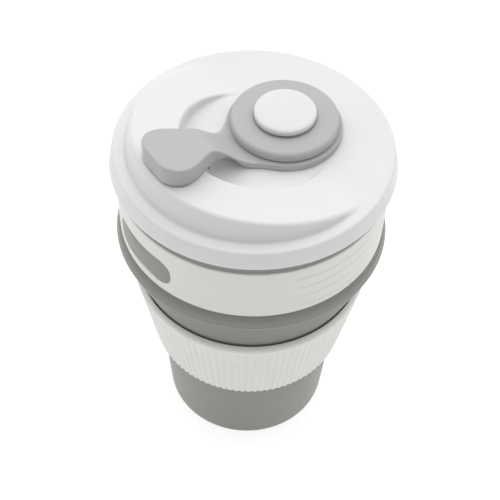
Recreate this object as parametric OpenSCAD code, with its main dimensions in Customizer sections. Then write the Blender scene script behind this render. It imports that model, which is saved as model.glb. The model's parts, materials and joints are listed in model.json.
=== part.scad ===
// Collapsible travel cup: a folding silicone cup with a grip sleeve, a stiff
// upper band, and a push-on lid whose drinking hole is closed by a turning stopper.
// Origin: centre of the underside, +Z up. -Y is the side that faces the user.

/* [Cup body] */
// Outer radius of the base tier at its underside
base_r = 31.3; // [30:0.1:32]
// Outer radius of the base tier at its top
base_top_r = 34; // [33:0.1:34.2]
// Height of the base tier
base_h = 40; // [38:0.5:42]
// Height of each folding web
fold_h = 20; // [19:0.5:21]
// Height of the middle tier's wall
middle_h = 15.6; // [15:0.2:16.6]
// Outer radius of the middle tier at its top
middle_r = 40.1; // [39.8:0.1:40.2]
// Wall thickness of the base and middle tiers
wall = 1.6; // [1.2:0.1:1.8]
// Wall thickness of the folding webs and the upper tier
web = 1.2; // [1:0.1:1.2]
// Thickness of the cup's floor
floor_t = 2.8; // [2:0.1:4]
// Outer radius of the crease under the upper band
crease_r = 47.4; // [46.8:0.1:47.4]

/* [Grip sleeve] */
// Outer radius at the lower edge
sleeve_r = 36.6; // [36.4:0.1:37]
// Outer radius under the rounded lip
sleeve_top_r = 42.5; // [42:0.1:42.6]
// Height of the sleeve
sleeve_h = 37; // [36:0.5:37.5]
// Wall thickness at the lower edge
sleeve_t = 1.7; // [1.5:0.1:1.8]

/* [Upper band] */
// Outer radius at the lower edge
band_r = 45.9; // [45.7:0.1:46]
// Height of the band
band_h = 22.2; // [20:0.1:23]
// Thickness of the band
band_t = 1; // [0.8:0.1:1.2]
// Length of the oval window across its ends
window_l = 29.6; // [20:0.2:32]
// Height of the oval window
window_h = 11.4; // [8:0.2:14]
// Compass angle of the window, from +X towards +Y
window_turn = 218.2; // [210:0.2:226]

/* [Lid] */
// Outer radius at the lower edge of the skirt
lid_r = 47.8; // [47.6:0.1:48]
// Outer radius of the rim at its top
lid_top_r = 46.3; // [46:0.1:46.6]
// Height of the skirt and rim
lid_h = 6.2; // [5.5:0.1:7]
// Thickness of the lid's walls
lid_t = 2; // [1.6:0.1:2.2]
// Radius of the raised top where it leaves the rim
top_r = 42.3; // [41.5:0.1:42.6]
// Height of the sloping top above the rim, at the lid's centre
top_rise = 2.4; // [2:0.05:2.6]
// Slope of the top at the lid's centre, rise over run
top_slope = 0.245; // [0.23:0.005:0.25]
// Radius of the top's gentle crown, from its low side to its high side
crown_r = 265; // [250:5:300]
// Compass angle of the top's high side
spout_turn = 220; // [216:0.5:222]
// Radius of the round recess, whose floor is level with the rim
recess_r = 24; // [23.5:0.1:24.5]
// Length of the drinking hole
drink_l = 12; // [8:0.5:13]
// Width of the drinking hole
drink_w = 6.5; // [5:0.5:7]

/* [Stopper] */
// Distance from the lid's centre back to the pivot
pivot_back = 12.1; // [11.5:0.1:12.5]
// Compass angle of the closed stopper arm
arm_turn = 216.4; // [214:0.2:220]
// Radius of the arm's ring around the pivot
ring_r = 19.3; // [18.8:0.1:19.5]
// Thickness of the ring
ring_t = 2.3; // [2:0.1:2.6]
// Reach of the arm from the pivot to its tip
arm_reach = 50.7; // [49:0.1:51.2]
// Half width of the arm at its waist
waist_w = 5.9; // [5:0.1:6.2]
// Half width of the tab
tab_w = 10.2; // [9.5:0.1:10.8]
// Height of the tab's top above the rim, carried back to the lid's centre
tab_rise = 9.6; // [9.2:0.1:10]
// Slope of the tab's top, rise over run
tab_slope = 0.184; // [0.17:0.002:0.2]
// Radius of the swivel disc
disc_r = 18; // [17:0.1:18.4]
// Thickness of the swivel disc
disc_t = 3.5; // [3:0.1:3.8]
// Radius of the pivot button's head
button_r = 10.3; // [9.5:0.1:11]

/* [Hidden] */
$fn = 128;

silicone = [0.53, 0.53, 0.51];
plastic = [0.93, 0.93, 0.92];

touch = 0.1;         // gap between flat faces of pieces that move apart
over = 1;            // how far a cutter runs past the solid it cuts

// Heights of the cup's tiers
middle_z = base_h + fold_h;
middle_top_z = middle_z + middle_h;
crease_z = middle_top_z + fold_h;
band_z = crease_z + 5.4;
flange_z = band_z + band_h + 2 * touch;
rim_z = flange_z + 8;

// Cup details
foot_r = base_r - 4.5;
foot_gap = 0.8;
edge = 0.6;
floor_fillet = 3;
rim_in_r = band_r - band_t - touch - web;
rim_out_r = band_r + 0.1;
middle_low_r = middle_r - 1.8;

// Sleeve details
sleeve_z = base_h - 1;
lip_r = 2.1;
sleeve_bead_z = middle_top_z - 5;

// Lid details
skirt_z = rim_z - 3.6;
lid_z = skirt_z + lid_h;
plate_z = rim_z + touch;
skirt_gap = 0.35;
plug_r = rim_in_r - 0.4;
plug_z = lid_z - 13;
rim_fillet = 1.3;
rim_draft = 16;
wall_draft = 15;
crown_u = crown_r * sin(atan(top_slope));
crown_z = lid_z + top_rise - crown_r * cos(atan(top_slope));
recess_fillet = 0.6;
drink_x = 31.5;
vent_r = 0.6;
vent_x = 18.4;
vent_y = 0.8;

// Pivot stack
ring_z = lid_z + 2 * touch;
disc_z = ring_z + ring_t;
head_z = disc_z + disc_t + 0.4;
head_t = 2.6;
shank_r = 5;
stem_r = 2.5;
run_gap = 0.05;      // radial clearance of a turning fit
washer_t = 1.1;
washer_r = 6.5;
washer_z = lid_z - lid_t - washer_t;

// Stopper side view, in distance from the pivot and height
ramp_start = 17.8;
ramp_end = 33.2;
under_start = 19.2;
under_end = 28;
waist_x = 29;
neck_turn = 42;       // where the arm leaves the ring, from its centre line
neck = [20.2, waist_w + 0.65];
tab_start = 30.5;
tab_run = 13.5;
tab_lift = 0.6;
tip_corner = 6.6;

function arc(c, r, a0, a1, n = 8) =
    [for (i = [0:n]) c + r * [cos(a0 + (a1 - a0) * i / n), sin(a0 + (a1 - a0) * i / n)]];
function ease(t) = t <= 0 ? 0 : t >= 1 ? 1 : t * t * (3 - 2 * t);
function mix(a, b, t) = a + (b - a) * t;
// Height of the sloping top under a point of the arm's centre line
function top_z(x) =
    crown_z + sqrt(crown_r * crown_r - pow(cos(spout_turn - arm_turn) * (x - pivot_back) - crown_u, 2));
function tab_z(x) = lid_z + tab_rise + tab_slope * (x - pivot_back);
function arm_top(x) = mix(ring_z + ring_t, tab_z(x), ease((x - ramp_start) / (ramp_end - ramp_start)));
function arm_under(x) =
    mix(ring_z, max(top_z(x), top_z(pivot_back + recess_r)) + tab_lift,
        ease((x - under_start) / (under_end - under_start)));
// Half width of the arm between its waist and the widest part of the tab
function tab_side(x) = mix(waist_w, tab_w, ease((x - tab_start) / tab_run));

module revolve(points) {
    rotate_extrude() polygon(points);
}

module pipe(r_in, r_out, z0, z1) {
    revolve([[r_in, z0], [r_out, z0], [r_out, z1], [r_in, z1]]);
}

// ---- Cup body, one silicone moulding in five tiers ----

module cup_base() {
    in_r = base_r - wall;
    color(silicone)
    revolve(concat(
        [[0, foot_gap], [foot_r, foot_gap], [foot_r + edge, 0], [base_r - edge, 0], [base_r, edge],
         [base_top_r, base_h], [base_top_r - wall, base_h]],
        arc([in_r - floor_fillet, floor_t + floor_fillet], floor_fillet, 0, -90),
        [[0, floor_t]]));
}

// Hidden web that turns inside out when the middle tier drops over the base
module lower_fold() {
    low = base_top_r;
    high = middle_low_r - touch;
    color(silicone)
    revolve([[low - web - 0.2, base_h], [low, base_h], [high, middle_z - touch], [high - web, middle_z - touch]]);
}

// Stiff wall under the grip sleeve, with a bead that keys into the sleeve
module middle_wall() {
    color(silicone)
    revolve(concat(
        [[middle_low_r - wall, middle_z], [middle_low_r, middle_z]],
        arc([middle_r - 0.5, sleeve_bead_z], 0.7, -70, 70),
        [[middle_r, middle_top_z], [middle_r - wall, middle_top_z]]));
}

// Visible web between the sleeve and the crease
module upper_fold() {
    color(silicone)
    revolve([[middle_r - web - 0.2, middle_top_z], [middle_r, middle_top_z],
             [crease_r, crease_z - touch], [crease_r - web - 0.1, crease_z - touch]]);
}

// Upper tier: crease, wall behind the band, oval boss and the rim that the lid grips
module rim_wall() {
    color(silicone)
    union() {
        revolve([[crease_r - web - 0.1, crease_z], [crease_r, crease_z], [crease_r, crease_z + 0.4],
                 [band_r, band_z], [rim_in_r + web, band_z], [rim_in_r + web, flange_z],
                 [rim_out_r, flange_z], [rim_out_r, rim_z - 0.4], [rim_out_r - 0.4, rim_z],
                 [rim_in_r + 0.4, rim_z], [rim_in_r, rim_z - 0.4], [rim_in_r, band_z + 1.5]]);
        intersection() {
            window_prism(touch);
            pipe(rim_in_r + web / 2, band_r - 0.05, band_z, flange_z);
        }
    }
}

// ---- Stiff pieces of the cup ----

module grip_sleeve() {
    lip = [sleeve_top_r - lip_r, sleeve_z + sleeve_h - lip_r];
    color(plastic)
    revolve(concat(
        [[sleeve_r - sleeve_t, sleeve_z], [sleeve_r, sleeve_z]],
        arc(lip, lip_r, 0, 75),
        [[middle_r + 0.8, sleeve_z + sleeve_h], [middle_r + 0.3, sleeve_bead_z + 1.6],
         [middle_r + 0.4, sleeve_bead_z + 1], [middle_r + 0.4, sleeve_bead_z - 1],
         [middle_r - 0.2, sleeve_bead_z - 1.6], [middle_low_r + touch, middle_z]]));
}

module upper_band() {
    low = band_z + touch;
    high = low + band_h;
    color(plastic)
    difference() {
        revolve(concat(
            [[band_r - band_t, low], [band_r - 0.2, low], [band_r, low + 0.2]],
            arc([band_r - 0.7, high - 0.8], 0.8, 0, 90),
            [[band_r - band_t, high]]));
        window_prism(0);
    }
}

// Capsule that points out through the band at the window
module window_prism(gap) {
    half = (window_l - window_h) / 2;
    deep = 2 * web + band_t + 2 * over;
    rotate([0, 0, window_turn])
    translate([rim_in_r - over, 0, band_z + 9.3]) {
        for (side = [-1, 1])
            translate([0, side * half, 0])
            rotate([0, 90, 0])
            cylinder(h = deep, r = window_h / 2 - gap);
        translate([0, -half, gap - window_h / 2])
        cube([deep, 2 * half, window_h - 2 * gap]);
    }
}

// ---- Lid ----

module at_pivot() {
    rotate([0, 0, arm_turn])
    translate([-pivot_back, 0, 0])
    children();
}

// Tapered block that stands on the rim and is cut off by the sloping, gently crowned top
module sloping_top(inset) {
    low = lid_z - over - inset;
    tall = 16 + inset;
    foot = top_r - inset + (lid_z - low) * tan(wall_draft);
    intersection() {
        translate([0, 0, low])
        cylinder(h = tall, r1 = foot, r2 = foot - tall * tan(wall_draft));
        rotate([0, 0, spout_turn])
        translate([crown_u, 0, crown_z])
        rotate([90, 0, 0])
        cylinder(h = 4 * lid_r, r = crown_r - inset, center = true, $fn = 360);
    }
}

module lid_outside() {
    revolve(concat(
        [[0, plate_z], [plug_r - lid_t, plate_z], [plug_r - lid_t + 0.5, plug_z], [plug_r - 0.5, plug_z],
         [plug_r, plug_z + 2], [plug_r, plate_z], [rim_out_r + skirt_gap, plate_z],
         [rim_out_r + skirt_gap, skirt_z + 0.4], [rim_out_r + skirt_gap + 0.3, skirt_z],
         [lid_r - 0.3, skirt_z], [lid_r, skirt_z + 0.3]],
        arc([lid_top_r - rim_fillet, lid_z - rim_fillet], rim_fillet, rim_draft, 90),
        [[0, lid_z]]));
    sloping_top(0);
}

module lid_shell() {
    color(plastic)
    difference() {
        union() {
            lid_outside();
            translate([0, 0, lid_z - lid_t])
            cylinder(h = lid_t, r = recess_r + lid_t);
        }
        lid_cavity();
        recess_cutter();
        rotate([0, 0, arm_turn])
        translate([drink_x, 0, 0])
        drink_cutter();
        rotate([0, 0, arm_turn])
        translate([vent_x, vent_y, lid_z - lid_t - over])
        cylinder(h = lid_t + 2 * over, r = vent_r, $fn = 32);
        at_pivot()
        translate([0, 0, plug_z])
        cylinder(h = lid_z, r = stem_r + run_gap);
    }
}

// Hollow under the sloping top, around the cup-shaped wall of the recess
module lid_cavity() {
    difference() {
        union() {
            sloping_top(lid_t);
            translate([0, 0, plate_z - over])
            cylinder(h = lid_z - lid_t - plate_z + over, r = plug_r - lid_t);
        }
        translate([0, 0, lid_z - lid_t])
        cylinder(h = 20, r = recess_r + lid_t);
    }
}

// Round recess, with a small fillet round its floor
module recess_cutter() {
    revolve(concat(
        [[0, lid_z]],
        arc([recess_r - recess_fillet, lid_z + recess_fillet], recess_fillet, -90, 0),
        [[recess_r, lid_z + 20], [0, lid_z + 20]]));
}

module drink_cutter() {
    half = (drink_l - drink_w) / 2;
    for (side = [-1, 1])
        translate([0, side * half, lid_z])
        cylinder(h = 20, r = drink_w / 2);
    translate([-drink_w / 2, -half, lid_z])
    cube([drink_w, 2 * half, 20]);
}

// White pin: domed head, shank that the ring and disc turn on, stem through the lid
module pivot_button() {
    foot_z = washer_z - 1;
    color(plastic)
    at_pivot()
    revolve(concat(
        [[0, foot_z - 1], [stem_r - 0.3, foot_z - 1], [stem_r + 0.4, foot_z], [stem_r + 0.4, washer_z - touch],
         [stem_r, washer_z - touch], [stem_r, lid_z], [shank_r, lid_z], [shank_r, head_z - 0.2],
         [button_r - 1, head_z - 0.2], [button_r - 0.6, head_z]],
        arc([button_r - 0.9, head_z + 1], 0.9, -20, 70),
        [[button_r / 2, head_z + head_t - 0.05], [0, head_z + head_t]]));
}

module retaining_washer() {
    color(plastic)
    at_pivot()
    pipe(stem_r + run_gap, washer_r, washer_z, washer_z + washer_t - touch / 2);
}

// ---- Stopper ----

// One side of the arm's outline, from the ring to the tip
function arm_side() = concat(
    [for (t = [0:0.125:1]) let (a = ring_r * [cos(neck_turn), sin(neck_turn)], c = [tab_start, waist_w])
        (1 - t) * (1 - t) * a + 2 * t * (1 - t) * neck + t * t * c],
    [for (i = [1:12]) let (x = tab_start + i * (arm_reach - tip_corner - tab_start) / 12) [x, tab_side(x)]],
    arc([arm_reach - tip_corner, tab_w - tip_corner], tip_corner, 80, 0));

// Arm seen from above, met with the arm seen from the side
module arm_solid() {
    side = arm_side();
    last = len(side) - 1;
    stops = [for (x = [12:1.5:36]) x];
    intersection() {
        translate([0, 0, ring_z - over])
        linear_extrude(height = 30)
        polygon(concat(
            [[12, -8]],
            [for (i = [0:last]) [side[i][0], -side[i][1]]],
            [for (i = [0:last]) side[last - i]],
            [[12, 8]]));
        rotate([90, 0, 0])
        linear_extrude(height = 4 * tab_w, center = true)
        polygon(concat(
            [for (x = stops) [x, arm_under(x)]],
            [[arm_reach + over, arm_under(arm_reach + over)], [arm_reach + over, arm_top(arm_reach + over)]],
            [for (i = [1:len(stops)]) let (x = stops[len(stops) - i]) [x, arm_top(x)]]));
    }
}

module arm_half(outer) {
    intersection() {
        arm_solid();
        translate([outer ? waist_x : 0, -ring_r, 0])
        cube([outer ? arm_reach : waist_x, 2 * ring_r, 2 * lid_z]);
    }
}

module stopper_arm() {
    color(silicone)
    at_pivot()
    difference() {
        union() {
            pipe(0, ring_r, ring_z, ring_z + ring_t);
            arm_half(false);
        }
        translate([0, 0, ring_z - over])
        cylinder(h = ring_t + 2 * over, r = shank_r + run_gap);
    }
}

module stopper_tab() {
    color(silicone)
    at_pivot()
    arm_half(true);
}

module swivel_disc() {
    top = disc_z + disc_t;
    color(silicone)
    at_pivot()
    revolve(concat(
        [[shank_r + run_gap, disc_z], [disc_r - 0.6, disc_z], [disc_r, disc_z + 0.5]],
        arc([disc_r - 1.5, top - 1.5], 1.5, 0, 90),
        [[shank_r + run_gap, top]]));
}

cup_base();
lower_fold();
middle_wall();
grip_sleeve();
upper_fold();
rim_wall();
upper_band();
lid_shell();
pivot_button();
retaining_washer();
stopper_arm();
swivel_disc();
stopper_tab();
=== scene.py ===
"""Looks of a collapsible travel cup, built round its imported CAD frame.

Shapes are worked out in millimetres from the frame's own boxes and joints, and turned
into metres when a mesh is made. Every round piece is a profile turned about an axis.
"""

import json
import math

import bmesh
import bpy
import numpy as np
from mathutils import Matrix, Vector
from mathutils.geometry import delaunay_2d_cdt


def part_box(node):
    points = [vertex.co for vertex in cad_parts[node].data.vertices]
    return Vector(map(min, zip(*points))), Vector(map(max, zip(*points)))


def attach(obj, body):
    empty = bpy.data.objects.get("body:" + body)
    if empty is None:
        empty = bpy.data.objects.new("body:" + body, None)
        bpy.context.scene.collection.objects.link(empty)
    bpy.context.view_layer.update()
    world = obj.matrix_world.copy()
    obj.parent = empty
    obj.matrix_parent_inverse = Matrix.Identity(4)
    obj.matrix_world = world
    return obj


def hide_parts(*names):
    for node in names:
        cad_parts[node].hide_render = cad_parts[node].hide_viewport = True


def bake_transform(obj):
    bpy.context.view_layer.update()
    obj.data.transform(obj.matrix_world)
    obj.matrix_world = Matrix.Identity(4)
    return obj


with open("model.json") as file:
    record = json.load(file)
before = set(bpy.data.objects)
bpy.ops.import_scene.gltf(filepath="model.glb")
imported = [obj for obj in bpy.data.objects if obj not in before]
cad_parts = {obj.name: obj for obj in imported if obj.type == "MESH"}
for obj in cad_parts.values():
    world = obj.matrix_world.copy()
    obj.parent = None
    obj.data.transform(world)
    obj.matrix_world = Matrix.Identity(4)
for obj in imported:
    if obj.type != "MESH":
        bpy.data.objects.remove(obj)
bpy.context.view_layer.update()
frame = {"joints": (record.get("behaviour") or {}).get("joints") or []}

MM = 0.001
TAU = 2 * math.pi


# ---------------------------------------------------------------- places taken from the frame

def low_of(node):
    """A node's lowest corner, in millimetres."""
    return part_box(node)[0] / MM


def high_of(node):
    """A node's highest corner, in millimetres."""
    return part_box(node)[1] / MM


def joint_place(name):
    """A hinge's point, in millimetres."""
    joint = next(j for j in frame["joints"] if j["name"] == name)
    return np.array(joint["pos_m"]) / MM


BASE_TOP = high_of("cup_base").z
BASE_TOP_R = high_of("cup_base").x
BASE_R = 31.3
WALL = 1.6
WEB = 1.2
MIDDLE_Z = low_of("middle_wall").z
MIDDLE_TOP = high_of("middle_wall").z
MIDDLE_R = 40.1
CREASE_Z = low_of("rim_wall").z
CREASE_R = high_of("rim_wall").x
SLEEVE_Z = low_of("grip_sleeve").z
SLEEVE_TOP = high_of("grip_sleeve").z
BAND_Z = low_of("upper_band").z
BAND_TOP = high_of("upper_band").z
BAND_R = 45.9
RIM_TOP = high_of("rim_wall").z
RIM_R = BAND_R - 0.4
RIM_IN_R = 43.6
LID_R = high_of("lid_shell").x
PLUG_Z = low_of("lid_shell").z
LID_Z = PLUG_Z + 13
SKIRT_Z = PLUG_Z + 6.8
RING_Z = low_of("stopper_arm").z
DISC_Z = low_of("swivel_disc").z
DISC_TOP = high_of("swivel_disc").z
WASHER_Z = low_of("retaining_washer").z
PIVOT = joint_place("stopper_swivel")


# ---------------------------------------------------------------- outlines and meshes

def ease(t):
    """Runs smoothly from 0 to 1 as t does."""
    t = np.clip(t, 0, 1)
    return t * t * (3 - 2 * t)


def mix(a, b, t):
    """The value a share t of the way from a to b."""
    return a + (b - a) * t


def arc(centre, radius, start, stop, steps=8):
    """Points of an arc, angles in degrees."""
    angles = np.radians(np.linspace(start, stop, steps + 1))
    return [(centre[0] + radius * math.cos(a), centre[1] + radius * math.sin(a)) for a in angles]


def rounded(corners, steps=6):
    """A closed outline from (x, y, radius) corners, each rounded by its own radius."""
    points = []
    count = len(corners)
    for i, (x, y, radius) in enumerate(corners):
        here = Vector((x, y))
        back = Vector(corners[i - 1][:2]) - here
        ahead = Vector(corners[(i + 1) % count][:2]) - here
        if radius <= 0:
            points.append((x, y))
            continue
        turn = back.angle(ahead)
        reach = min(radius / math.tan(turn / 2), 0.49 * back.length, 0.49 * ahead.length)
        start, stop = here + back.normalized() * reach, here + ahead.normalized() * reach
        fit = reach * math.tan(turn / 2)
        centre = here + (back.normalized() + ahead.normalized()).normalized() * (fit / math.sin(turn / 2))
        a0 = math.atan2(start.y - centre.y, start.x - centre.x)
        a1 = math.atan2(stop.y - centre.y, stop.x - centre.x)
        sweep = (a1 - a0 + math.pi) % TAU - math.pi
        for k in range(steps + 1):
            a = a0 + sweep * k / steps
            points.append((centre.x + fit * math.cos(a), centre.y + fit * math.sin(a)))
    return points


def refined(points, longest, closed=True):
    """The same outline with no edge longer than a given length."""
    out = []
    ends = points[1:] + points[:1] if closed else points[1:]
    for a, b in zip(points, ends):
        parts = max(1, math.ceil(math.dist(a, b) / longest))
        out += [(a[0] + (b[0] - a[0]) * k / parts, a[1] + (b[1] - a[1]) * k / parts) for k in range(parts)]
    if not closed:
        out.append(points[-1])
    return out


def make_mesh(name, verts, faces, material, smooth_angle=32):
    """An object from vertices in millimetres, smooth up to an angle between faces."""
    mesh = bpy.data.meshes.new(name)
    mesh.from_pydata([tuple(v) for v in np.asarray(verts, float) * MM], [], faces)
    mesh.update()
    piece = bpy.data.objects.new(name, mesh)
    bpy.context.scene.collection.objects.link(piece)
    mesh.materials.append(material)
    finish_shading(piece, smooth_angle)
    return piece


def finish_shading(piece, smooth_angle):
    """Outward normals, and smooth shading that breaks at sharp edges."""
    mesh = piece.data
    work = bmesh.new()
    work.from_mesh(mesh)
    bmesh.ops.recalc_face_normals(work, faces=work.faces)
    work.to_mesh(mesh)
    work.free()
    mesh.shade_smooth()
    mesh.set_sharp_from_angle(angle=math.radians(smooth_angle))


def ring_faces(rows, columns, wrap):
    """Quads that join rows of a turned grid, and optionally the last row to the first."""
    faces = []
    for i in range(rows if wrap else rows - 1):
        j = (i + 1) % rows
        for k in range(columns):
            m = (k + 1) % columns
            faces.append((i * columns + k, i * columns + m, j * columns + m, j * columns + k))
    return faces


def lathe(name, outline, material, centre=(0, 0), columns=256, shape=None, smooth_angle=32):
    """A closed outline of (radius, height) turned about an upright axis.

    shape(radius, height, angles) may return new radii for a row.
    An outline that starts and ends on the axis is closed by one point at each end.
    """
    angles = np.arange(columns) * TAU / columns
    on_axis = outline[0][0] == 0 and outline[-1][0] == 0
    rows = outline[1:-1] if on_axis else outline
    verts = []
    for radius, height in rows:
        radii = np.full(columns, radius) if shape is None else shape(radius, height, angles)
        verts.append(np.stack([centre[0] + radii * np.cos(angles), centre[1] + radii * np.sin(angles),
                               np.full(columns, height)], axis=1))
    faces = ring_faces(len(rows), columns, wrap=not on_axis)
    verts = np.concatenate(verts)
    if on_axis:
        faces += pole_faces(len(verts), 0, columns) + pole_faces(len(verts) + 1, len(rows) - 1, columns)
        poles = [(centre[0], centre[1], outline[0][1]), (centre[0], centre[1], outline[-1][1])]
        verts = np.concatenate([verts, poles])
    return make_mesh(name, verts, faces, material, smooth_angle)


def pole_faces(pole, row, columns):
    """Triangles from one row of a turned grid to a point on the axis."""
    return [(pole, row * columns + k, row * columns + (k + 1) % columns) for k in range(columns)]


def cut(piece, cutters, smooth_angle=32):
    """Takes cutter objects out of a piece and deletes them."""
    for cutter in cutters:
        modifier = piece.modifiers.new("cut", "BOOLEAN")
        modifier.operation = "DIFFERENCE"
        modifier.solver = "EXACT"
        modifier.object = cutter
        bpy.context.view_layer.objects.active = piece
        bpy.ops.object.modifier_apply(modifier=modifier.name)
    for cutter in cutters:
        bpy.data.objects.remove(cutter)
    piece.data.shade_smooth()
    piece.data.set_sharp_from_angle(angle=math.radians(smooth_angle))


def prism(name, loop, bottom, top, place):
    """A cutter: a closed 2-D loop pulled from bottom to top, put in place by a matrix."""
    count = len(loop)
    verts = [(x, y, bottom) for x, y in loop] + [(x, y, top) for x, y in loop]
    faces = [tuple(reversed(range(count))), tuple(range(count, 2 * count))]
    faces += [(k, (k + 1) % count, count + (k + 1) % count, count + k) for k in range(count)]
    verts = [place @ Vector(v) for v in verts]
    return make_mesh(name, verts, faces, None)


def capsule_loop(length, width, steps=24):
    """A long round-ended loop, long side along Y."""
    half = (length - width) / 2
    return arc((0, half), width / 2, 0, 180, steps) + arc((0, -half), width / 2, 180, 360, steps)


# ---------------------------------------------------------------- materials

CLOUD_SCALE = 45
GLOSS_SPREAD = 0.05
GRAIN_STRENGTH = 0.5
SCATTER_DEPTH = 1.2 * MM


def moulded(name, colour, roughness, grain, grain_depth, mottle, specular=0.5, scatter=0.0, sheen=0.0):
    """A moulded surface: faint cloudy colour, fine grain and uneven gloss."""
    material = bpy.data.materials.new(name)
    material.use_nodes = True
    nodes, links = material.node_tree.nodes, material.node_tree.links
    shader = nodes["Principled BSDF"]
    place = nodes.new("ShaderNodeTexCoord")

    clouds = nodes.new("ShaderNodeTexNoise")
    clouds.inputs["Scale"].default_value = CLOUD_SCALE
    clouds.inputs["Detail"].default_value = 4
    links.new(place.outputs["Object"], clouds.inputs["Vector"])
    tint = nodes.new("ShaderNodeValToRGB")
    tint.color_ramp.elements[0].position = 0.3
    tint.color_ramp.elements[1].position = 0.7
    tint.color_ramp.elements[0].color = (*[c * (1 - mottle) for c in colour], 1)
    tint.color_ramp.elements[1].color = (*[min(1, c * (1 + mottle)) for c in colour], 1)
    links.new(clouds.outputs["Fac"], tint.inputs["Fac"])
    links.new(tint.outputs["Color"], shader.inputs["Base Color"])

    speckle = nodes.new("ShaderNodeTexNoise")
    speckle.inputs["Scale"].default_value = grain
    speckle.inputs["Detail"].default_value = 3
    links.new(place.outputs["Object"], speckle.inputs["Vector"])
    gloss = nodes.new("ShaderNodeMapRange")
    gloss.inputs["To Min"].default_value = roughness - GLOSS_SPREAD
    gloss.inputs["To Max"].default_value = roughness + GLOSS_SPREAD
    links.new(speckle.outputs["Fac"], gloss.inputs["Value"])
    links.new(gloss.outputs["Result"], shader.inputs["Roughness"])
    bump = nodes.new("ShaderNodeBump")
    bump.inputs["Strength"].default_value = GRAIN_STRENGTH
    bump.inputs["Distance"].default_value = grain_depth * MM
    links.new(speckle.outputs["Fac"], bump.inputs["Height"])
    links.new(bump.outputs["Normal"], shader.inputs["Normal"])

    shader.inputs["Specular IOR Level"].default_value = specular
    if scatter:
        shader.inputs["Subsurface Weight"].default_value = scatter
        shader.inputs["Subsurface Radius"].default_value = (1.0, 0.95, 0.9)
        shader.inputs["Subsurface Scale"].default_value = SCATTER_DEPTH
    if sheen:
        shader.inputs["Sheen Weight"].default_value = sheen
        shader.inputs["Sheen Roughness"].default_value = 0.4
    return material


# The webs and the parting line are the cup's own silicone. Their greys are given.
CUP_GREY = moulded("cup_grey", (0.275, 0.278, 0.255), 0.6, 3200, 0.02, 0.025, specular=0.4, sheen=0.25)
# The webs' grey is the cup silicone darkened with painted shade, for the shade under the band and crease
# where the webs face down.
WEB_PAINTED_SHADE_GREY = moulded("web_painted_shade_grey", (0.205, 0.207, 0.19), 0.6, 3200, 0.02, 0.025, specular=0.3, sheen=0.1)
# The parting line's grey is the cup silicone made paler as a painted highlight along the crease's bead.
LINE_PAINTED_HIGHLIGHT_GREY = moulded("line_painted_highlight_grey", (0.42, 0.425, 0.40), 0.6, 3200, 0.01, 0.02, specular=0.4)
STOPPER_GREY = moulded("stopper_grey", (0.49, 0.495, 0.50), 0.55, 3600, 0.02, 0.02, specular=0.35)
LID_WHITE = moulded("lid_white", (0.785, 0.795, 0.795), 0.42, 2600, 0.012, 0.008, scatter=0.12)
BAND_WHITE = moulded("band_white", (0.79, 0.79, 0.765), 0.5, 2600, 0.015, 0.01, scatter=0.12)
SLEEVE_WHITE = moulded("sleeve_white", (0.80, 0.80, 0.775), 0.55, 2200, 0.015, 0.01, scatter=0.12)
BUTTON_WHITE = moulded("button_white", (0.79, 0.79, 0.78), 0.45, 2600, 0.012, 0.008, scatter=0.12)


def dress(piece, body, slot, *nodes):
    """Puts a finished piece on its body in place of its CAD nodes. The slot is not used."""
    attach(piece, body)
    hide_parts(*nodes)
    return piece


# ---------------------------------------------------------------- silicone cup body

SEAT_GAP = 0.1


def cup_base():
    """The base tier, with a shallow hollow inside the ring that it stands on."""
    floor = 2.8
    in_r = BASE_R - WALL
    foot = BASE_R - 4.5
    outline = rounded([
        (foot + 0.7, 0, 0.3), (BASE_R, 0, 0.7), (BASE_TOP_R, BASE_TOP, 0.3),
        (BASE_TOP_R - WALL, BASE_TOP, 0.3), (in_r, floor, 3.2)])
    outline = [(0, 0.8), (foot - 0.4, 0.8), (foot, 0.72)] + outline + [(0, floor)]
    piece = lathe("base_tier", refined(outline, 3, closed=False), CUP_GREY)
    return dress(piece, "base", "cup_silicone", "cup_base")


def fold(name, low_r, low_z, high_r, high_z):
    """A folding web: a thin cone between the edges of two tiers, in the grey with painted shade."""
    inward = WEB + 0.15
    rows = [(mix(low_r, high_r, k / 24), mix(low_z, high_z, k / 24)) for k in range(25)]
    outline = rows + [(radius - inward, height) for radius, height in reversed(rows)]
    return lathe(name, outline, WEB_PAINTED_SHADE_GREY)


def folds():
    """The two webs, each blended between the tiers that it joins."""
    lower = fold("lower_fold_web", BASE_TOP_R, BASE_TOP, high_of("lower_fold").x, MIDDLE_Z)
    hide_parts("lower_fold")
    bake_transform(lower)
    upper = fold("upper_fold_web", MIDDLE_R, MIDDLE_TOP, CREASE_R, CREASE_Z)
    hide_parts("upper_fold")
    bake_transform(upper)


def middle_wall():
    """The middle tier's wall, with the bead that the grip sleeve sits on."""
    low_r = MIDDLE_R - 1.8
    bead = MIDDLE_TOP - 5
    outline = [(low_r - WALL, MIDDLE_Z), (low_r, MIDDLE_Z)]
    outline += arc((MIDDLE_R - 0.5, bead), 0.7, -70, 70)
    outline += [(MIDDLE_R, MIDDLE_TOP), (MIDDLE_R - WALL, MIDDLE_TOP)]
    piece = lathe("middle_tier_wall", refined(outline, 3), CUP_GREY)
    return dress(piece, "middle_tier", "cup_silicone", "middle_wall")


LINE_H = 0.4
LINE_DEPTH = 0.4


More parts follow.
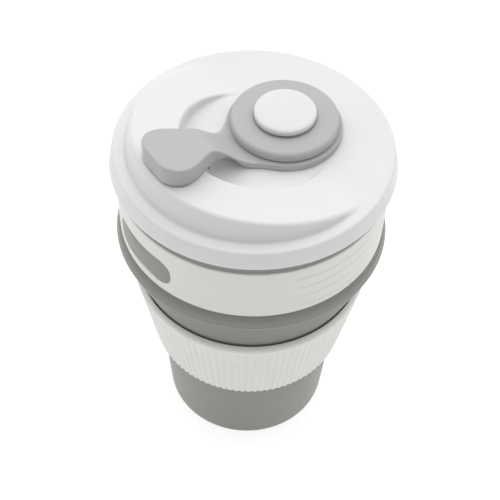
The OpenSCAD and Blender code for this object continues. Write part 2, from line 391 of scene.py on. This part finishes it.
def rim_wall():
    """The top tier's wall: a crease with a parting line painted paler as a highlight, a tuck under the band
    and a flange.
    """
    shoulder = BAND_Z - SEAT_GAP
    flange = BAND_TOP + SEAT_GAP
    outline = rounded([
        (CREASE_R - WEB, CREASE_Z, 0), (CREASE_R - LINE_DEPTH, CREASE_Z, 0),
        (CREASE_R - LINE_DEPTH, CREASE_Z + LINE_H, 0), (CREASE_R, CREASE_Z + LINE_H, 0.05),
        (BAND_R + 0.85, shoulder - 2.4, 3),
        (BAND_R - 0.5, shoulder - 1.0, 0.5), (BAND_R - 0.95, shoulder, 0.1), (RIM_IN_R + WEB, shoulder, 0),
        (RIM_IN_R + WEB, flange, 0), (RIM_R, flange, 0.2), (RIM_R, RIM_TOP, 0.6), (RIM_IN_R, RIM_TOP, 0.6),
        (RIM_IN_R, shoulder + 1.5, 1.5)])
    piece = lathe("upper_tier_wall", refined(outline, 3), CUP_GREY)
    line_r = CREASE_R - LINE_DEPTH + 0.02
    line = rounded([(line_r, CREASE_Z + 0.02, 0), (CREASE_R + 0.03, CREASE_Z + 0.02, 0.1),
                    (CREASE_R + 0.03, CREASE_Z + LINE_H - 0.02, 0.1), (line_r, CREASE_Z + LINE_H - 0.02, 0)])
    # The parting line's bead, in the paler grey of a painted highlight.
    parting = lathe("parting_line_and_painted_highlight", line, LINE_PAINTED_HIGHLIGHT_GREY)
    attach(parting, "upper_tier")
    return dress(piece, "upper_tier", "cup_silicone", "rim_wall")


# ---------------------------------------------------------------- grip sleeve

RIBS = 98
COLUMNS_PER_RIB = 12
RIB_DEPTH = 0.5
SLEEVE_R = 36.6
SLEEVE_TOP_R = high_of("grip_sleeve").x


def grip_sleeve():
    """The ribbed ring round the middle tier, with a rolled lip at the top."""
    lip_r = 2.1
    lip = (SLEEVE_TOP_R - lip_r, SLEEVE_TOP - lip_r)
    inner_low = MIDDLE_R - 1.7
    rib_end = lip[1] - 0.9

    def ribbed(radius, height, angles):
        """Rounded ribs on the outside, running out under the lip."""
        wall = SLEEVE_R + (SLEEVE_TOP_R - SLEEVE_R) * (height - SLEEVE_Z) / (lip[1] - SLEEVE_Z)
        outside = np.clip((radius - wall + 1.2) / 0.8, 0, 1)
        fade = np.clip((rib_end - height) / 1.6, 0, 1) * outside
        wave = 1 - np.sqrt(np.abs(np.cos(angles * RIBS / 2)) ** 2 + 0.02) / math.sqrt(1.02)
        return radius - RIB_DEPTH * wave * fade * fade * (3 - 2 * fade)

    outline = rounded([(SLEEVE_R - 1.7, SLEEVE_Z, 0.3), (SLEEVE_R, SLEEVE_Z, 0.35),
                       (SLEEVE_TOP_R, lip[1], 0)])[:-1]
    outline = refined(outline + [(SLEEVE_TOP_R, lip[1])], 1.2, closed=False)[:-1]
    outline += arc(lip, lip_r, 0, 75, 12)
    outline += [(MIDDLE_R + 0.8, SLEEVE_TOP - 0.1), (MIDDLE_R + 0.3, MIDDLE_TOP - 3.4),
                (MIDDLE_R + 0.4, MIDDLE_TOP - 4), (MIDDLE_R + 0.4, MIDDLE_TOP - 6),
                (MIDDLE_R - 0.2, MIDDLE_TOP - 6.6), (inner_low, MIDDLE_Z)]
    piece = lathe("ribbed_grip_sleeve", outline, SLEEVE_WHITE, columns=RIBS * COLUMNS_PER_RIB,
                  shape=ribbed, smooth_angle=50)
    return dress(piece, "middle_tier", "white_plastic", "grip_sleeve")


# ---------------------------------------------------------------- upper band with its window

WINDOW_TURN = math.radians(218.2)
WINDOW_L = 29.6
WINDOW_H = 11.4
WINDOW_Z = BAND_Z + 9.2
GROOVES = 4
GROOVE_STEP = 4.7
GROOVE_DEPTH = 0.22
GROOVE_SPAN = math.radians(23)


def groove_heights():
    """Heights of the grooves, evenly spaced about the band's middle."""
    middle = (BAND_Z + BAND_TOP) / 2 - 0.9
    return [middle + GROOVE_STEP * (k - (GROOVES - 1) / 2) for k in range(GROOVES)]


def upper_band():
    """The stiff ring round the upper tier, with its grooves and the window cut through it."""
    def grooved(radius, height, angles):
        """Fine grip grooves on the two sides, a quarter turn from the window."""
        if radius < BAND_R - 0.35:
            return np.full(len(angles), radius)
        depth = sum(math.exp(-((height - z) / 0.42) ** 2) for z in groove_heights())
        away = np.abs(np.abs((angles - WINDOW_TURN + math.pi) % TAU - math.pi) - math.pi / 2)
        fade = np.clip((GROOVE_SPAN - away) / math.radians(7), 0, 1)
        return radius - GROOVE_DEPTH * depth * fade * fade * (3 - 2 * fade)

    outline = rounded([(BAND_R - 1, BAND_Z, 0.1), (BAND_R, BAND_Z, 0.25), (BAND_R + 0.1, BAND_TOP, 0.9),
                       (BAND_R - 1, BAND_TOP, 0.1)])
    piece = lathe("upper_band_ring", refined(outline, 0.2), BAND_WHITE, columns=360, shape=grooved)
    place = (Matrix.Rotation(WINDOW_TURN, 4, "Z") @ Matrix.Translation((0, 0, WINDOW_Z))
             @ Matrix.Rotation(math.pi / 2, 4, "Y"))
    cut(piece, [prism("window_cutter", capsule_loop(WINDOW_L, WINDOW_H), RIM_IN_R, BAND_R + 3, place)])
    return dress(piece, "upper_tier", "white_plastic", "upper_band")


def window_boss():
    """The oval of silicone that fills the band's window, flush with it."""
    loop = np.array(capsule_loop(WINDOW_L - 0.16, WINDOW_H - 0.16, 32))
    face = BAND_R - 0.02
    edge = 0.3
    half = WINDOW_L / 2
    rows = [(k / 10 * (1 - edge / half), 0) for k in range(1, 11)]
    rows += [(1 - edge / half * (1 - math.sin(a)), edge * (1 - math.cos(a)))
             for a in np.radians([20, 40, 60, 75, 90])]
    rows.append((1, 1.9))
    verts = []
    for share, sink in rows:
        for across, along in loop * share:
            turn = along / BAND_R
            radius = face - sink
            verts.append((radius * math.cos(turn), radius * math.sin(turn), WINDOW_Z - across))
    count = len(loop)
    faces = ring_faces(len(rows), count, wrap=False)
    verts += [(face, 0, WINDOW_Z), (face - 1.9, 0, WINDOW_Z)]
    faces += pole_faces(len(rows) * count, 0, count)
    faces += pole_faces(len(rows) * count + 1, len(rows) - 1, count)
    turn = Matrix.Rotation(WINDOW_TURN, 4, "Z")
    piece = make_mesh("window_boss", [turn @ Vector(v) for v in verts], faces, CUP_GREY, 60)
    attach(piece, "upper_tier")
    return piece


# ---------------------------------------------------------------- lid

TOP_R = 42.3
TOP_RISE = 2.4
TOP_TILT = math.atan(0.245)
CROWN_R = 265
CROWN_U = CROWN_R * math.sin(TOP_TILT)
CROWN_Z = LID_Z + TOP_RISE - CROWN_R * math.cos(TOP_TILT)
SPOUT_TURN = math.radians(220)
ARM_TURN = math.radians(216.4)
WALL_DRAFT = math.radians(15)
RECESS_R = 24.0
RECESS_DRAFT = 0.035
LID_T = 2.0
TOP_EDGE = 1.2
FOOT_EDGE = 0.8
RECESS_EDGE = 0.9
SHOULDER_EDGE = 1.9


def soft_max(a, b, radius):
    """Depth of the overlap of two solids, with the shared edge rounded."""
    inside = np.minimum(-radius, np.maximum(a, b))
    return inside + np.hypot(np.maximum(a + radius, 0), np.maximum(b + radius, 0))


def lid_depth(x, y, z):
    """Signed distance to the lid's upper surface: below zero inside the lid."""
    r = np.hypot(x, y)
    along = x * math.cos(SPOUT_TURN) + y * math.sin(SPOUT_TURN)
    over_crown = np.hypot(along - CROWN_U, z - CROWN_Z) - CROWN_R
    over_wall = (r - TOP_R + (z - LID_Z) * math.tan(WALL_DRAFT)) * math.cos(WALL_DRAFT)
    in_recess = RECESS_R + (z - LID_Z) * RECESS_DRAFT - r
    raised = soft_max(soft_max(over_crown, over_wall, TOP_EDGE), in_recess, RECESS_EDGE)
    return -soft_max(-raised, -(z - LID_Z), FOOT_EDGE)


def lid_height(radius, angles, inset=0.0):
    """Height of the surface that lies a given depth inside the lid."""
    x, y = radius * np.cos(angles), radius * np.sin(angles)
    low, high = np.full_like(x, LID_Z - 8), np.full_like(x, LID_Z + 16)
    for _ in range(30):
        middle = (low + high) / 2
        inside = lid_depth(x, y, middle) < -inset
        low, high = np.where(inside, middle, low), np.where(inside, high, middle)
    return (low + high) / 2


def spaced(start, stop, step):
    """Even steps from start up to, but not including, stop."""
    count = max(1, round((stop - start) / step))
    return [start + (stop - start) * k / count for k in range(count)]


LID_COLUMNS = 320
SHOULDER_R = 46.3
DRINK_SIZE = (12, 6.5)
DRINK_X = 31.5
VENT_R = 0.45
VENT_AT = (18.4, 0.8)
STEM_HOLE_R = 2.55


def lid_shell():
    """The lid as one turned skin, outside then inside, with its three holes cut through."""
    columns = LID_COLUMNS
    angles = np.arange(columns) * TAU / columns
    plate = RIM_TOP + SEAT_GAP
    groove_r = BAND_R + 0.45
    plug_r = RIM_IN_R - 0.4
    flat_r = SHOULDER_R - SHOULDER_EDGE
    top_rows = (spaced(1.5, RECESS_R - 1.8, 3) + spaced(RECESS_R - 1.8, RECESS_R - 0.25, 0.14)
                + spaced(RECESS_R - 0.25, RECESS_R + 0.4, 0.04)
                + spaced(RECESS_R + 0.4, RECESS_R + 1.5, 0.12) + spaced(RECESS_R + 1.5, 35.5, 1)
                + spaced(35.5, TOP_R + 1.6, 0.13) + spaced(TOP_R + 1.6, flat_r, 0.3))
    skirt = rounded([
        (flat_r, LID_Z, 0), (SHOULDER_R, LID_Z, SHOULDER_EDGE),
        (LID_R, SKIRT_Z, 0.5), (groove_r, SKIRT_Z, 0.5),
        (groove_r, plate, 0.8), (plug_r, plate, 0.8), (plug_r, PLUG_Z + 2, 0.4), (plug_r - 0.5, PLUG_Z, 0.4),
        (plug_r - 1.6, PLUG_Z, 0.4), (plug_r - LID_T, LID_Z - LID_T, 0)])
    skirt = refined(skirt, 1.5, closed=False)
    inner_wall = TOP_R - LID_T / math.cos(WALL_DRAFT)
    under_rows = (spaced(inner_wall + 1.2, inner_wall - 4.2, 0.18)
                  + spaced(inner_wall - 4.2, RECESS_R + 3.2, 1)
                  + spaced(RECESS_R + 3.2, RECESS_R + 1.8, 0.06) + spaced(RECESS_R + 1.8, 1.5, 2))
    rows = [(np.full(columns, r), lid_height(r, angles)) for r in top_rows]
    rows += [(np.full(columns, r), np.full(columns, z)) for r, z in skirt]
    rows += [(np.full(columns, r), lid_height(r, angles, LID_T)) for r in under_rows]
    verts = np.concatenate([np.stack([r * np.cos(angles), r * np.sin(angles), z], axis=1)
                            for r, z in rows])
    faces = ring_faces(len(rows), columns, wrap=False)
    faces += pole_faces(len(verts), 0, columns) + pole_faces(len(verts) + 1, len(rows) - 1, columns)
    verts = np.concatenate([verts, [(0, 0, LID_Z), (0, 0, LID_Z - LID_T)]])
    piece = make_mesh("lid_moulding", verts, faces, LID_WHITE)
    along_arm = Matrix.Rotation(ARM_TURN, 4, "Z")
    at_pivot = Matrix.Translation((PIVOT[0], PIVOT[1], 0))
    cut(piece, [
        prism("drink_cutter", capsule_loop(*DRINK_SIZE), LID_Z, LID_Z + 20,
              along_arm @ Matrix.Translation((DRINK_X, 0, 0))),
        prism("vent_cutter", arc((0, 0), VENT_R, 0, 345, 23), PLUG_Z, LID_Z + 1,
              along_arm @ Matrix.Translation((*VENT_AT, 0))),
        prism("stem_cutter", arc((0, 0), STEM_HOLE_R, 0, 352.5, 47), PLUG_Z, LID_Z + 1, at_pivot)])
    return dress(piece, "lid", "lid_plastic", "lid_shell")


# ---------------------------------------------------------------- pivot stack

SHANK_R = 5.0
STEM_R = 2.5
BUTTON_R = 10.3
HEAD_T = 2.6
WASHER_R = 6.5
DISC_R = 18.0


def pivot_button():
    """The pin: a domed head on a shank, and a stem that goes down through the lid."""
    top = high_of("pivot_button").z
    head = top - HEAD_T
    dome = [(BUTTON_R * s, top - 0.32 * s * s) for s in np.linspace(0.9, 0, 10)]
    outline = [(0, WASHER_Z - 2), (STEM_R - 0.3, WASHER_Z - 2), (STEM_R + 0.4, WASHER_Z - 1),
               (STEM_R + 0.4, WASHER_Z - 0.1), (STEM_R, WASHER_Z - 0.1), (STEM_R, LID_Z), (SHANK_R, LID_Z),
               (SHANK_R, head - 0.15), (BUTTON_R - 1.2, head - 0.15)]
    outline += arc((BUTTON_R - 0.75, head + 0.75), 0.75, -80, 0, 6)
    outline += arc((BUTTON_R - 0.95, top - 1.28), 0.95, 0, 80, 10)
    outline += [(r, z) for r, z in dome if r < BUTTON_R - 1]
    outline[-1] = (0, top)
    piece = lathe("pivot_pin", outline, BUTTON_WHITE, PIVOT, 192, smooth_angle=40)
    return dress(piece, "lid", "lid_plastic", "pivot_button")


def retaining_washer():
    """A push-on washer whose inner edge is cut into gripping teeth."""
    def teeth(radius, height, angles):
        if radius > STEM_R + 1:
            return np.full(len(angles), radius)
        return radius + 1.1 * (np.abs(np.cos(3 * angles)) < 0.35)
    high = high_of("retaining_washer").z
    outline = rounded([(STEM_R + 0.05, WASHER_Z, 0.1), (WASHER_R, WASHER_Z, 0.3),
                       (WASHER_R, high, 0.2), (STEM_R + 0.05, high - 0.2, 0.1)])
    piece = lathe("push_on_washer", outline, LID_WHITE, PIVOT, 192, shape=teeth)
    return dress(piece, "lid", "lid_plastic", "retaining_washer")


def swivel_disc():
    """The disc on the stopper's ring, undercut below and dished under the button."""
    outline = rounded([
        (SHANK_R + 0.05, DISC_Z, 0), (DISC_R - 1.3, DISC_Z, 0.05), (DISC_R - 1.2, DISC_Z + 0.4, 0.1),
        (DISC_R, DISC_Z + 0.65, 0.2), (DISC_R, DISC_TOP, 1.5), (BUTTON_R + 0.2, DISC_TOP, 0.3),
        (BUTTON_R - 0.2, DISC_TOP - 0.25, 0.3), (SHANK_R + 0.05, DISC_TOP - 0.25, 0)], steps=8)
    piece = lathe("swivel_disc_top", refined(outline, 2), STOPPER_GREY, PIVOT)
    return dress(piece, "stopper", "stopper_silicone", "swivel_disc")


# ---------------------------------------------------------------- stopper

PIVOT_BACK = 12.1
RING_R = 19.3
RING_T = 2.3
ARM_REACH = 50.7
NECK_TURN = 42
NECK = (20.2, 6.55)
WAIST_W = 5.9
TAB_START = 30.5
TAB_RUN = 13.5
TAB_W = 10.2
TAB_RISE = 9.6
TAB_SLOPE = 0.184
TIP_CORNER = 6.6
EDGE = 0.45


def top_under(x):
    """Height of the lid's sloping top under the arm's centre line."""
    along = math.cos(SPOUT_TURN - ARM_TURN) * (x - PIVOT_BACK)
    return CROWN_Z + np.sqrt(CROWN_R ** 2 - (along - CROWN_U) ** 2)


def arm_top(x):
    """Height of the stopper's upper face, level on the ring and sloping on the tab."""
    tab_z = LID_Z + TAB_RISE + TAB_SLOPE * (x - PIVOT_BACK)
    return mix(RING_Z + RING_T, tab_z, ease((x - 17.8) / 15.4))


def arm_bottom(x):
    """Height of the stopper's lower face, which rises to clear the lid's top."""
    seat = np.maximum(top_under(x), top_under(PIVOT_BACK + RECESS_R)) + 0.6
    return mix(RING_Z, seat, ease((x - 19.2) / 8.8))


def arm_outline():
    """Outline of ring, arm and tab, evenly spaced, with the ring's centre at 0, 0."""
    turn = math.radians(NECK_TURN)
    start = RING_R * np.array([math.cos(turn), math.sin(turn)])
    bend, waist = np.array(NECK), np.array([TAB_START, WAIST_W])
    side = [tuple((1 - t) ** 2 * start + 2 * t * (1 - t) * bend + t * t * waist)
            for t in np.linspace(0, 1, 24)]
    side += [(x, mix(WAIST_W, TAB_W, float(ease((x - TAB_START) / TAB_RUN))))
             for x in np.linspace(TAB_START + 0.5, ARM_REACH - TIP_CORNER, 30)]
    side += arc((ARM_REACH - TIP_CORNER, TAB_W - TIP_CORNER), TIP_CORNER, 85, 0, 14)
    mirrored = [(x, -y) for x, y in reversed(side)]
    ring = arc((0, 0), RING_R, 360 - NECK_TURN, NECK_TURN, 150)[1:-1]
    loop = side + mirrored + ring
    return evenly(loop, 0.5)


def evenly(loop, step):
    """A closed loop walked in equal steps."""
    points = np.array(loop + loop[:1])
    lengths = np.concatenate([[0], np.cumsum(np.linalg.norm(np.diff(points, axis=0), axis=1))])
    count = round(lengths[-1] / step)
    marks = np.linspace(0, lengths[-1], count, endpoint=False)
    return np.stack([np.interp(marks, lengths, points[:, axis]) for axis in (0, 1)], axis=1)


def stopper():
    """Ring, arm and tab as one moulding: a flat outline raised between two curved faces."""
    loop = arm_outline()
    ahead = np.roll(loop, -1, axis=0) - np.roll(loop, 1, axis=0)
    outward = np.stack([ahead[:, 1], -ahead[:, 0]], axis=1) / np.linalg.norm(ahead, axis=1)[:, None]
    if (outward * loop)[:, 0].sum() < 0:
        outward = -outward
    levels = []
    quarter = np.radians([0, 22.5, 45, 67.5, 90])
    for a in quarter:
        levels.append((EDGE * (1 - math.sin(a)), 0, EDGE * (1 - math.cos(a))))
    for share in (0.25, 0.5, 0.75):
        levels.append((0, share, 0))
    for a in quarter[::-1]:
        levels.append((EDGE * (1 - math.sin(a)), 1, -EDGE * (1 - math.cos(a))))
    verts = []
    for inset, share, lift in levels:
        at = loop - outward * inset
        low, high = arm_bottom(at[:, 0]) + EDGE, arm_top(at[:, 0]) - EDGE
        base = low if share == 0 else high if share == 1 else mix(low, high, share)
        raise_by = {0: lift - EDGE, 1: lift + EDGE}.get(share, 0)
        verts += [(x, y, z + raise_by) for (x, y), z in zip(at, base)]
    count = len(loop)
    faces = ring_faces(len(levels), count, wrap=False)
    cap_loop = loop - outward * EDGE
    bore = np.array(arc((0, 0), SHANK_R + 0.05, 0, 360, 48))[:-1]
    add_cap(verts, faces, cap_loop, 0, bore, arm_bottom)
    bottom_bore = len(verts) - len(bore)
    add_cap(verts, faces, cap_loop, (len(levels) - 1) * count, bore, arm_top)
    top_bore = len(verts) - len(bore)
    for k in range(len(bore)):
        m = (k + 1) % len(bore)
        faces.append((bottom_bore + k, bottom_bore + m, top_bore + m, top_bore + k))
    place = Matrix.Translation((PIVOT[0], PIVOT[1], 0)) @ Matrix.Rotation(ARM_TURN, 4, "Z")
    piece = make_mesh("stopper_moulding", [place @ Vector(v) for v in verts], faces, STOPPER_GREY, 40)
    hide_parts("stopper_arm", "stopper_tab")
    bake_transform(piece)
    return piece


def add_cap(verts, faces, loop, first, bore, height):
    """Fills a loop whose vertices start at first, leaving the bore open, at a height for each x."""
    low, high = loop.min(0), loop.max(0)
    grid = [(x, y) for x in np.arange(low[0], high[0], 0.8) for y in np.arange(low[1], high[1], 0.8)
            if inside_loop(loop, x, y, 0.5) and math.hypot(x, y) > SHANK_R + 0.7]
    points = [Vector(p) for p in loop] + [Vector(p) for p in grid] + [Vector(p) for p in bore]
    count, hole = len(loop), len(loop) + len(grid)
    edges = [(k, (k + 1) % count) for k in range(count)]
    edges += [(hole + k, hole + (k + 1) % len(bore)) for k in range(len(bore))]
    flat, _, triangles, origins, _, _ = delaunay_2d_cdt(points, edges, [], 1, 1e-6)
    index = {}
    for new, old in enumerate(origins):
        source = old[0]
        index[new] = first + source if source < count else len(verts) + source - count
    verts += [(x, y, float(height(x))) for x, y in list(grid) + [tuple(p) for p in bore]]
    for triangle in triangles:
        centre = sum((flat[k] for k in triangle), Vector((0, 0))) / 3
        if centre.length > SHANK_R:
            faces.append(tuple(index[k] for k in triangle))


def inside_loop(loop, x, y, margin):
    """True for a point inside the loop and at least a margin from its points."""
    if np.min(np.hypot(loop[:, 0] - x, loop[:, 1] - y)) < margin:
        return False
    ahead = np.roll(loop, -1, axis=0)
    crosses = (loop[:, 1] > y) != (ahead[:, 1] > y)
    at = loop[crosses, 0] + (y - loop[crosses, 1]) * (ahead[crosses, 0] - loop[crosses, 0]) / (
        ahead[crosses, 1] - loop[crosses, 1])
    return (at > x).sum() % 2 == 1


# ---------------------------------------------------------------- stage, lights and camera

OVERHEAD = (0, 0.65, 1.42)
DARKEST = 0.05
SIDE_LIGHT = 0.24
FLOOR_HALF = 3
FLOOR_Z = -0.05 * MM
FLOOR_TONE = (0.5, 0.5, 0.49, 1)
FLOOR_GLOW = 0.68


def studio():
    """A pale table under a wide overhead light, dimmer in front and a little brighter at the sides."""
    floor = bpy.data.objects.new("floor", bpy.data.meshes.new("floor"))
    corners = [(-1, -1), (1, -1), (1, 1), (-1, 1)]
    verts = [(x * FLOOR_HALF, y * FLOOR_HALF, FLOOR_Z) for x, y in corners]
    floor.data.from_pydata(verts, [], [(0, 1, 2, 3)])
    bpy.context.scene.collection.objects.link(floor)
    pale = bpy.data.materials.new("pale_floor")
    pale.use_nodes = True
    shader = pale.node_tree.nodes["Principled BSDF"]
    shader.inputs["Base Color"].default_value = FLOOR_TONE
    shader.inputs["Roughness"].default_value = 0.12
    shader.inputs["Emission Color"].default_value = (1, 1, 1, 1)
    shader.inputs["Emission Strength"].default_value = FLOOR_GLOW
    floor.data.materials.append(pale)

    world = bpy.data.worlds.new("studio")
    world.use_nodes = True
    nodes, links = world.node_tree.nodes, world.node_tree.links
    place = nodes.new("ShaderNodeTexCoord")
    slope = nodes.new("ShaderNodeVectorMath")
    slope.operation = "DOT_PRODUCT"
    slope.inputs[1].default_value = OVERHEAD
    links.new(place.outputs["Generated"], slope.inputs[0])
    level = nodes.new("ShaderNodeMath")
    level.operation = "MAXIMUM"
    level.inputs[1].default_value = DARKEST
    links.new(slope.outputs["Value"], level.inputs[0])
    parts = nodes.new("ShaderNodeSeparateXYZ")
    links.new(place.outputs["Generated"], parts.inputs["Vector"])
    across = nodes.new("ShaderNodeMath")
    across.operation = "ABSOLUTE"
    links.new(parts.outputs["X"], across.inputs[0])
    sides = nodes.new("ShaderNodeMath")
    sides.operation = "MULTIPLY_ADD"
    sides.inputs[1].default_value = SIDE_LIGHT
    links.new(across.outputs["Value"], sides.inputs[0])
    links.new(level.outputs["Value"], sides.inputs[2])
    rays = nodes.new("ShaderNodeLightPath")
    backdrop = nodes.new("ShaderNodeMath")
    backdrop.operation = "MAXIMUM"
    links.new(sides.outputs["Value"], backdrop.inputs[0])
    links.new(rays.outputs["Is Camera Ray"], backdrop.inputs[1])
    links.new(backdrop.outputs["Value"], nodes["Background"].inputs["Strength"])
    nodes["Background"].inputs["Color"].default_value = (1, 1, 1, 1)
    bpy.context.scene.world = world


PITCH = math.radians(51.34)
ROLL = math.radians(2.02)
CAMERA_AT = (-0.00014, -0.24944, 0.390)
LENS = 78.45


def camera():
    """Looks down at the cup from the front, with the slight roll of a hand-set tripod."""
    ahead = Vector((0, math.cos(PITCH), -math.sin(PITCH)))
    right = Vector((1, 0, 0))
    up = right.cross(ahead)
    right, up = (math.cos(ROLL) * right + math.sin(ROLL) * up,
                 math.cos(ROLL) * up - math.sin(ROLL) * right)
    data = bpy.data.cameras.new("camera")
    data.sensor_width = 36
    data.lens = LENS
    data.clip_start = 0.01
    cam = bpy.data.objects.new("camera", data)
    rows = [(right[k], up[k], -ahead[k], CAMERA_AT[k]) for k in range(3)]
    cam.matrix_world = Matrix((*rows, (0, 0, 0, 1)))
    bpy.context.scene.collection.objects.link(cam)
    bpy.context.scene.camera = cam


camera()
studio()
cup_base()
folds()
middle_wall()
rim_wall()
grip_sleeve()
upper_band()
window_boss()
lid_shell()
pivot_button()
retaining_washer()
swivel_disc()
stopper()
bpy.context.scene.view_settings.view_transform = "Standard"
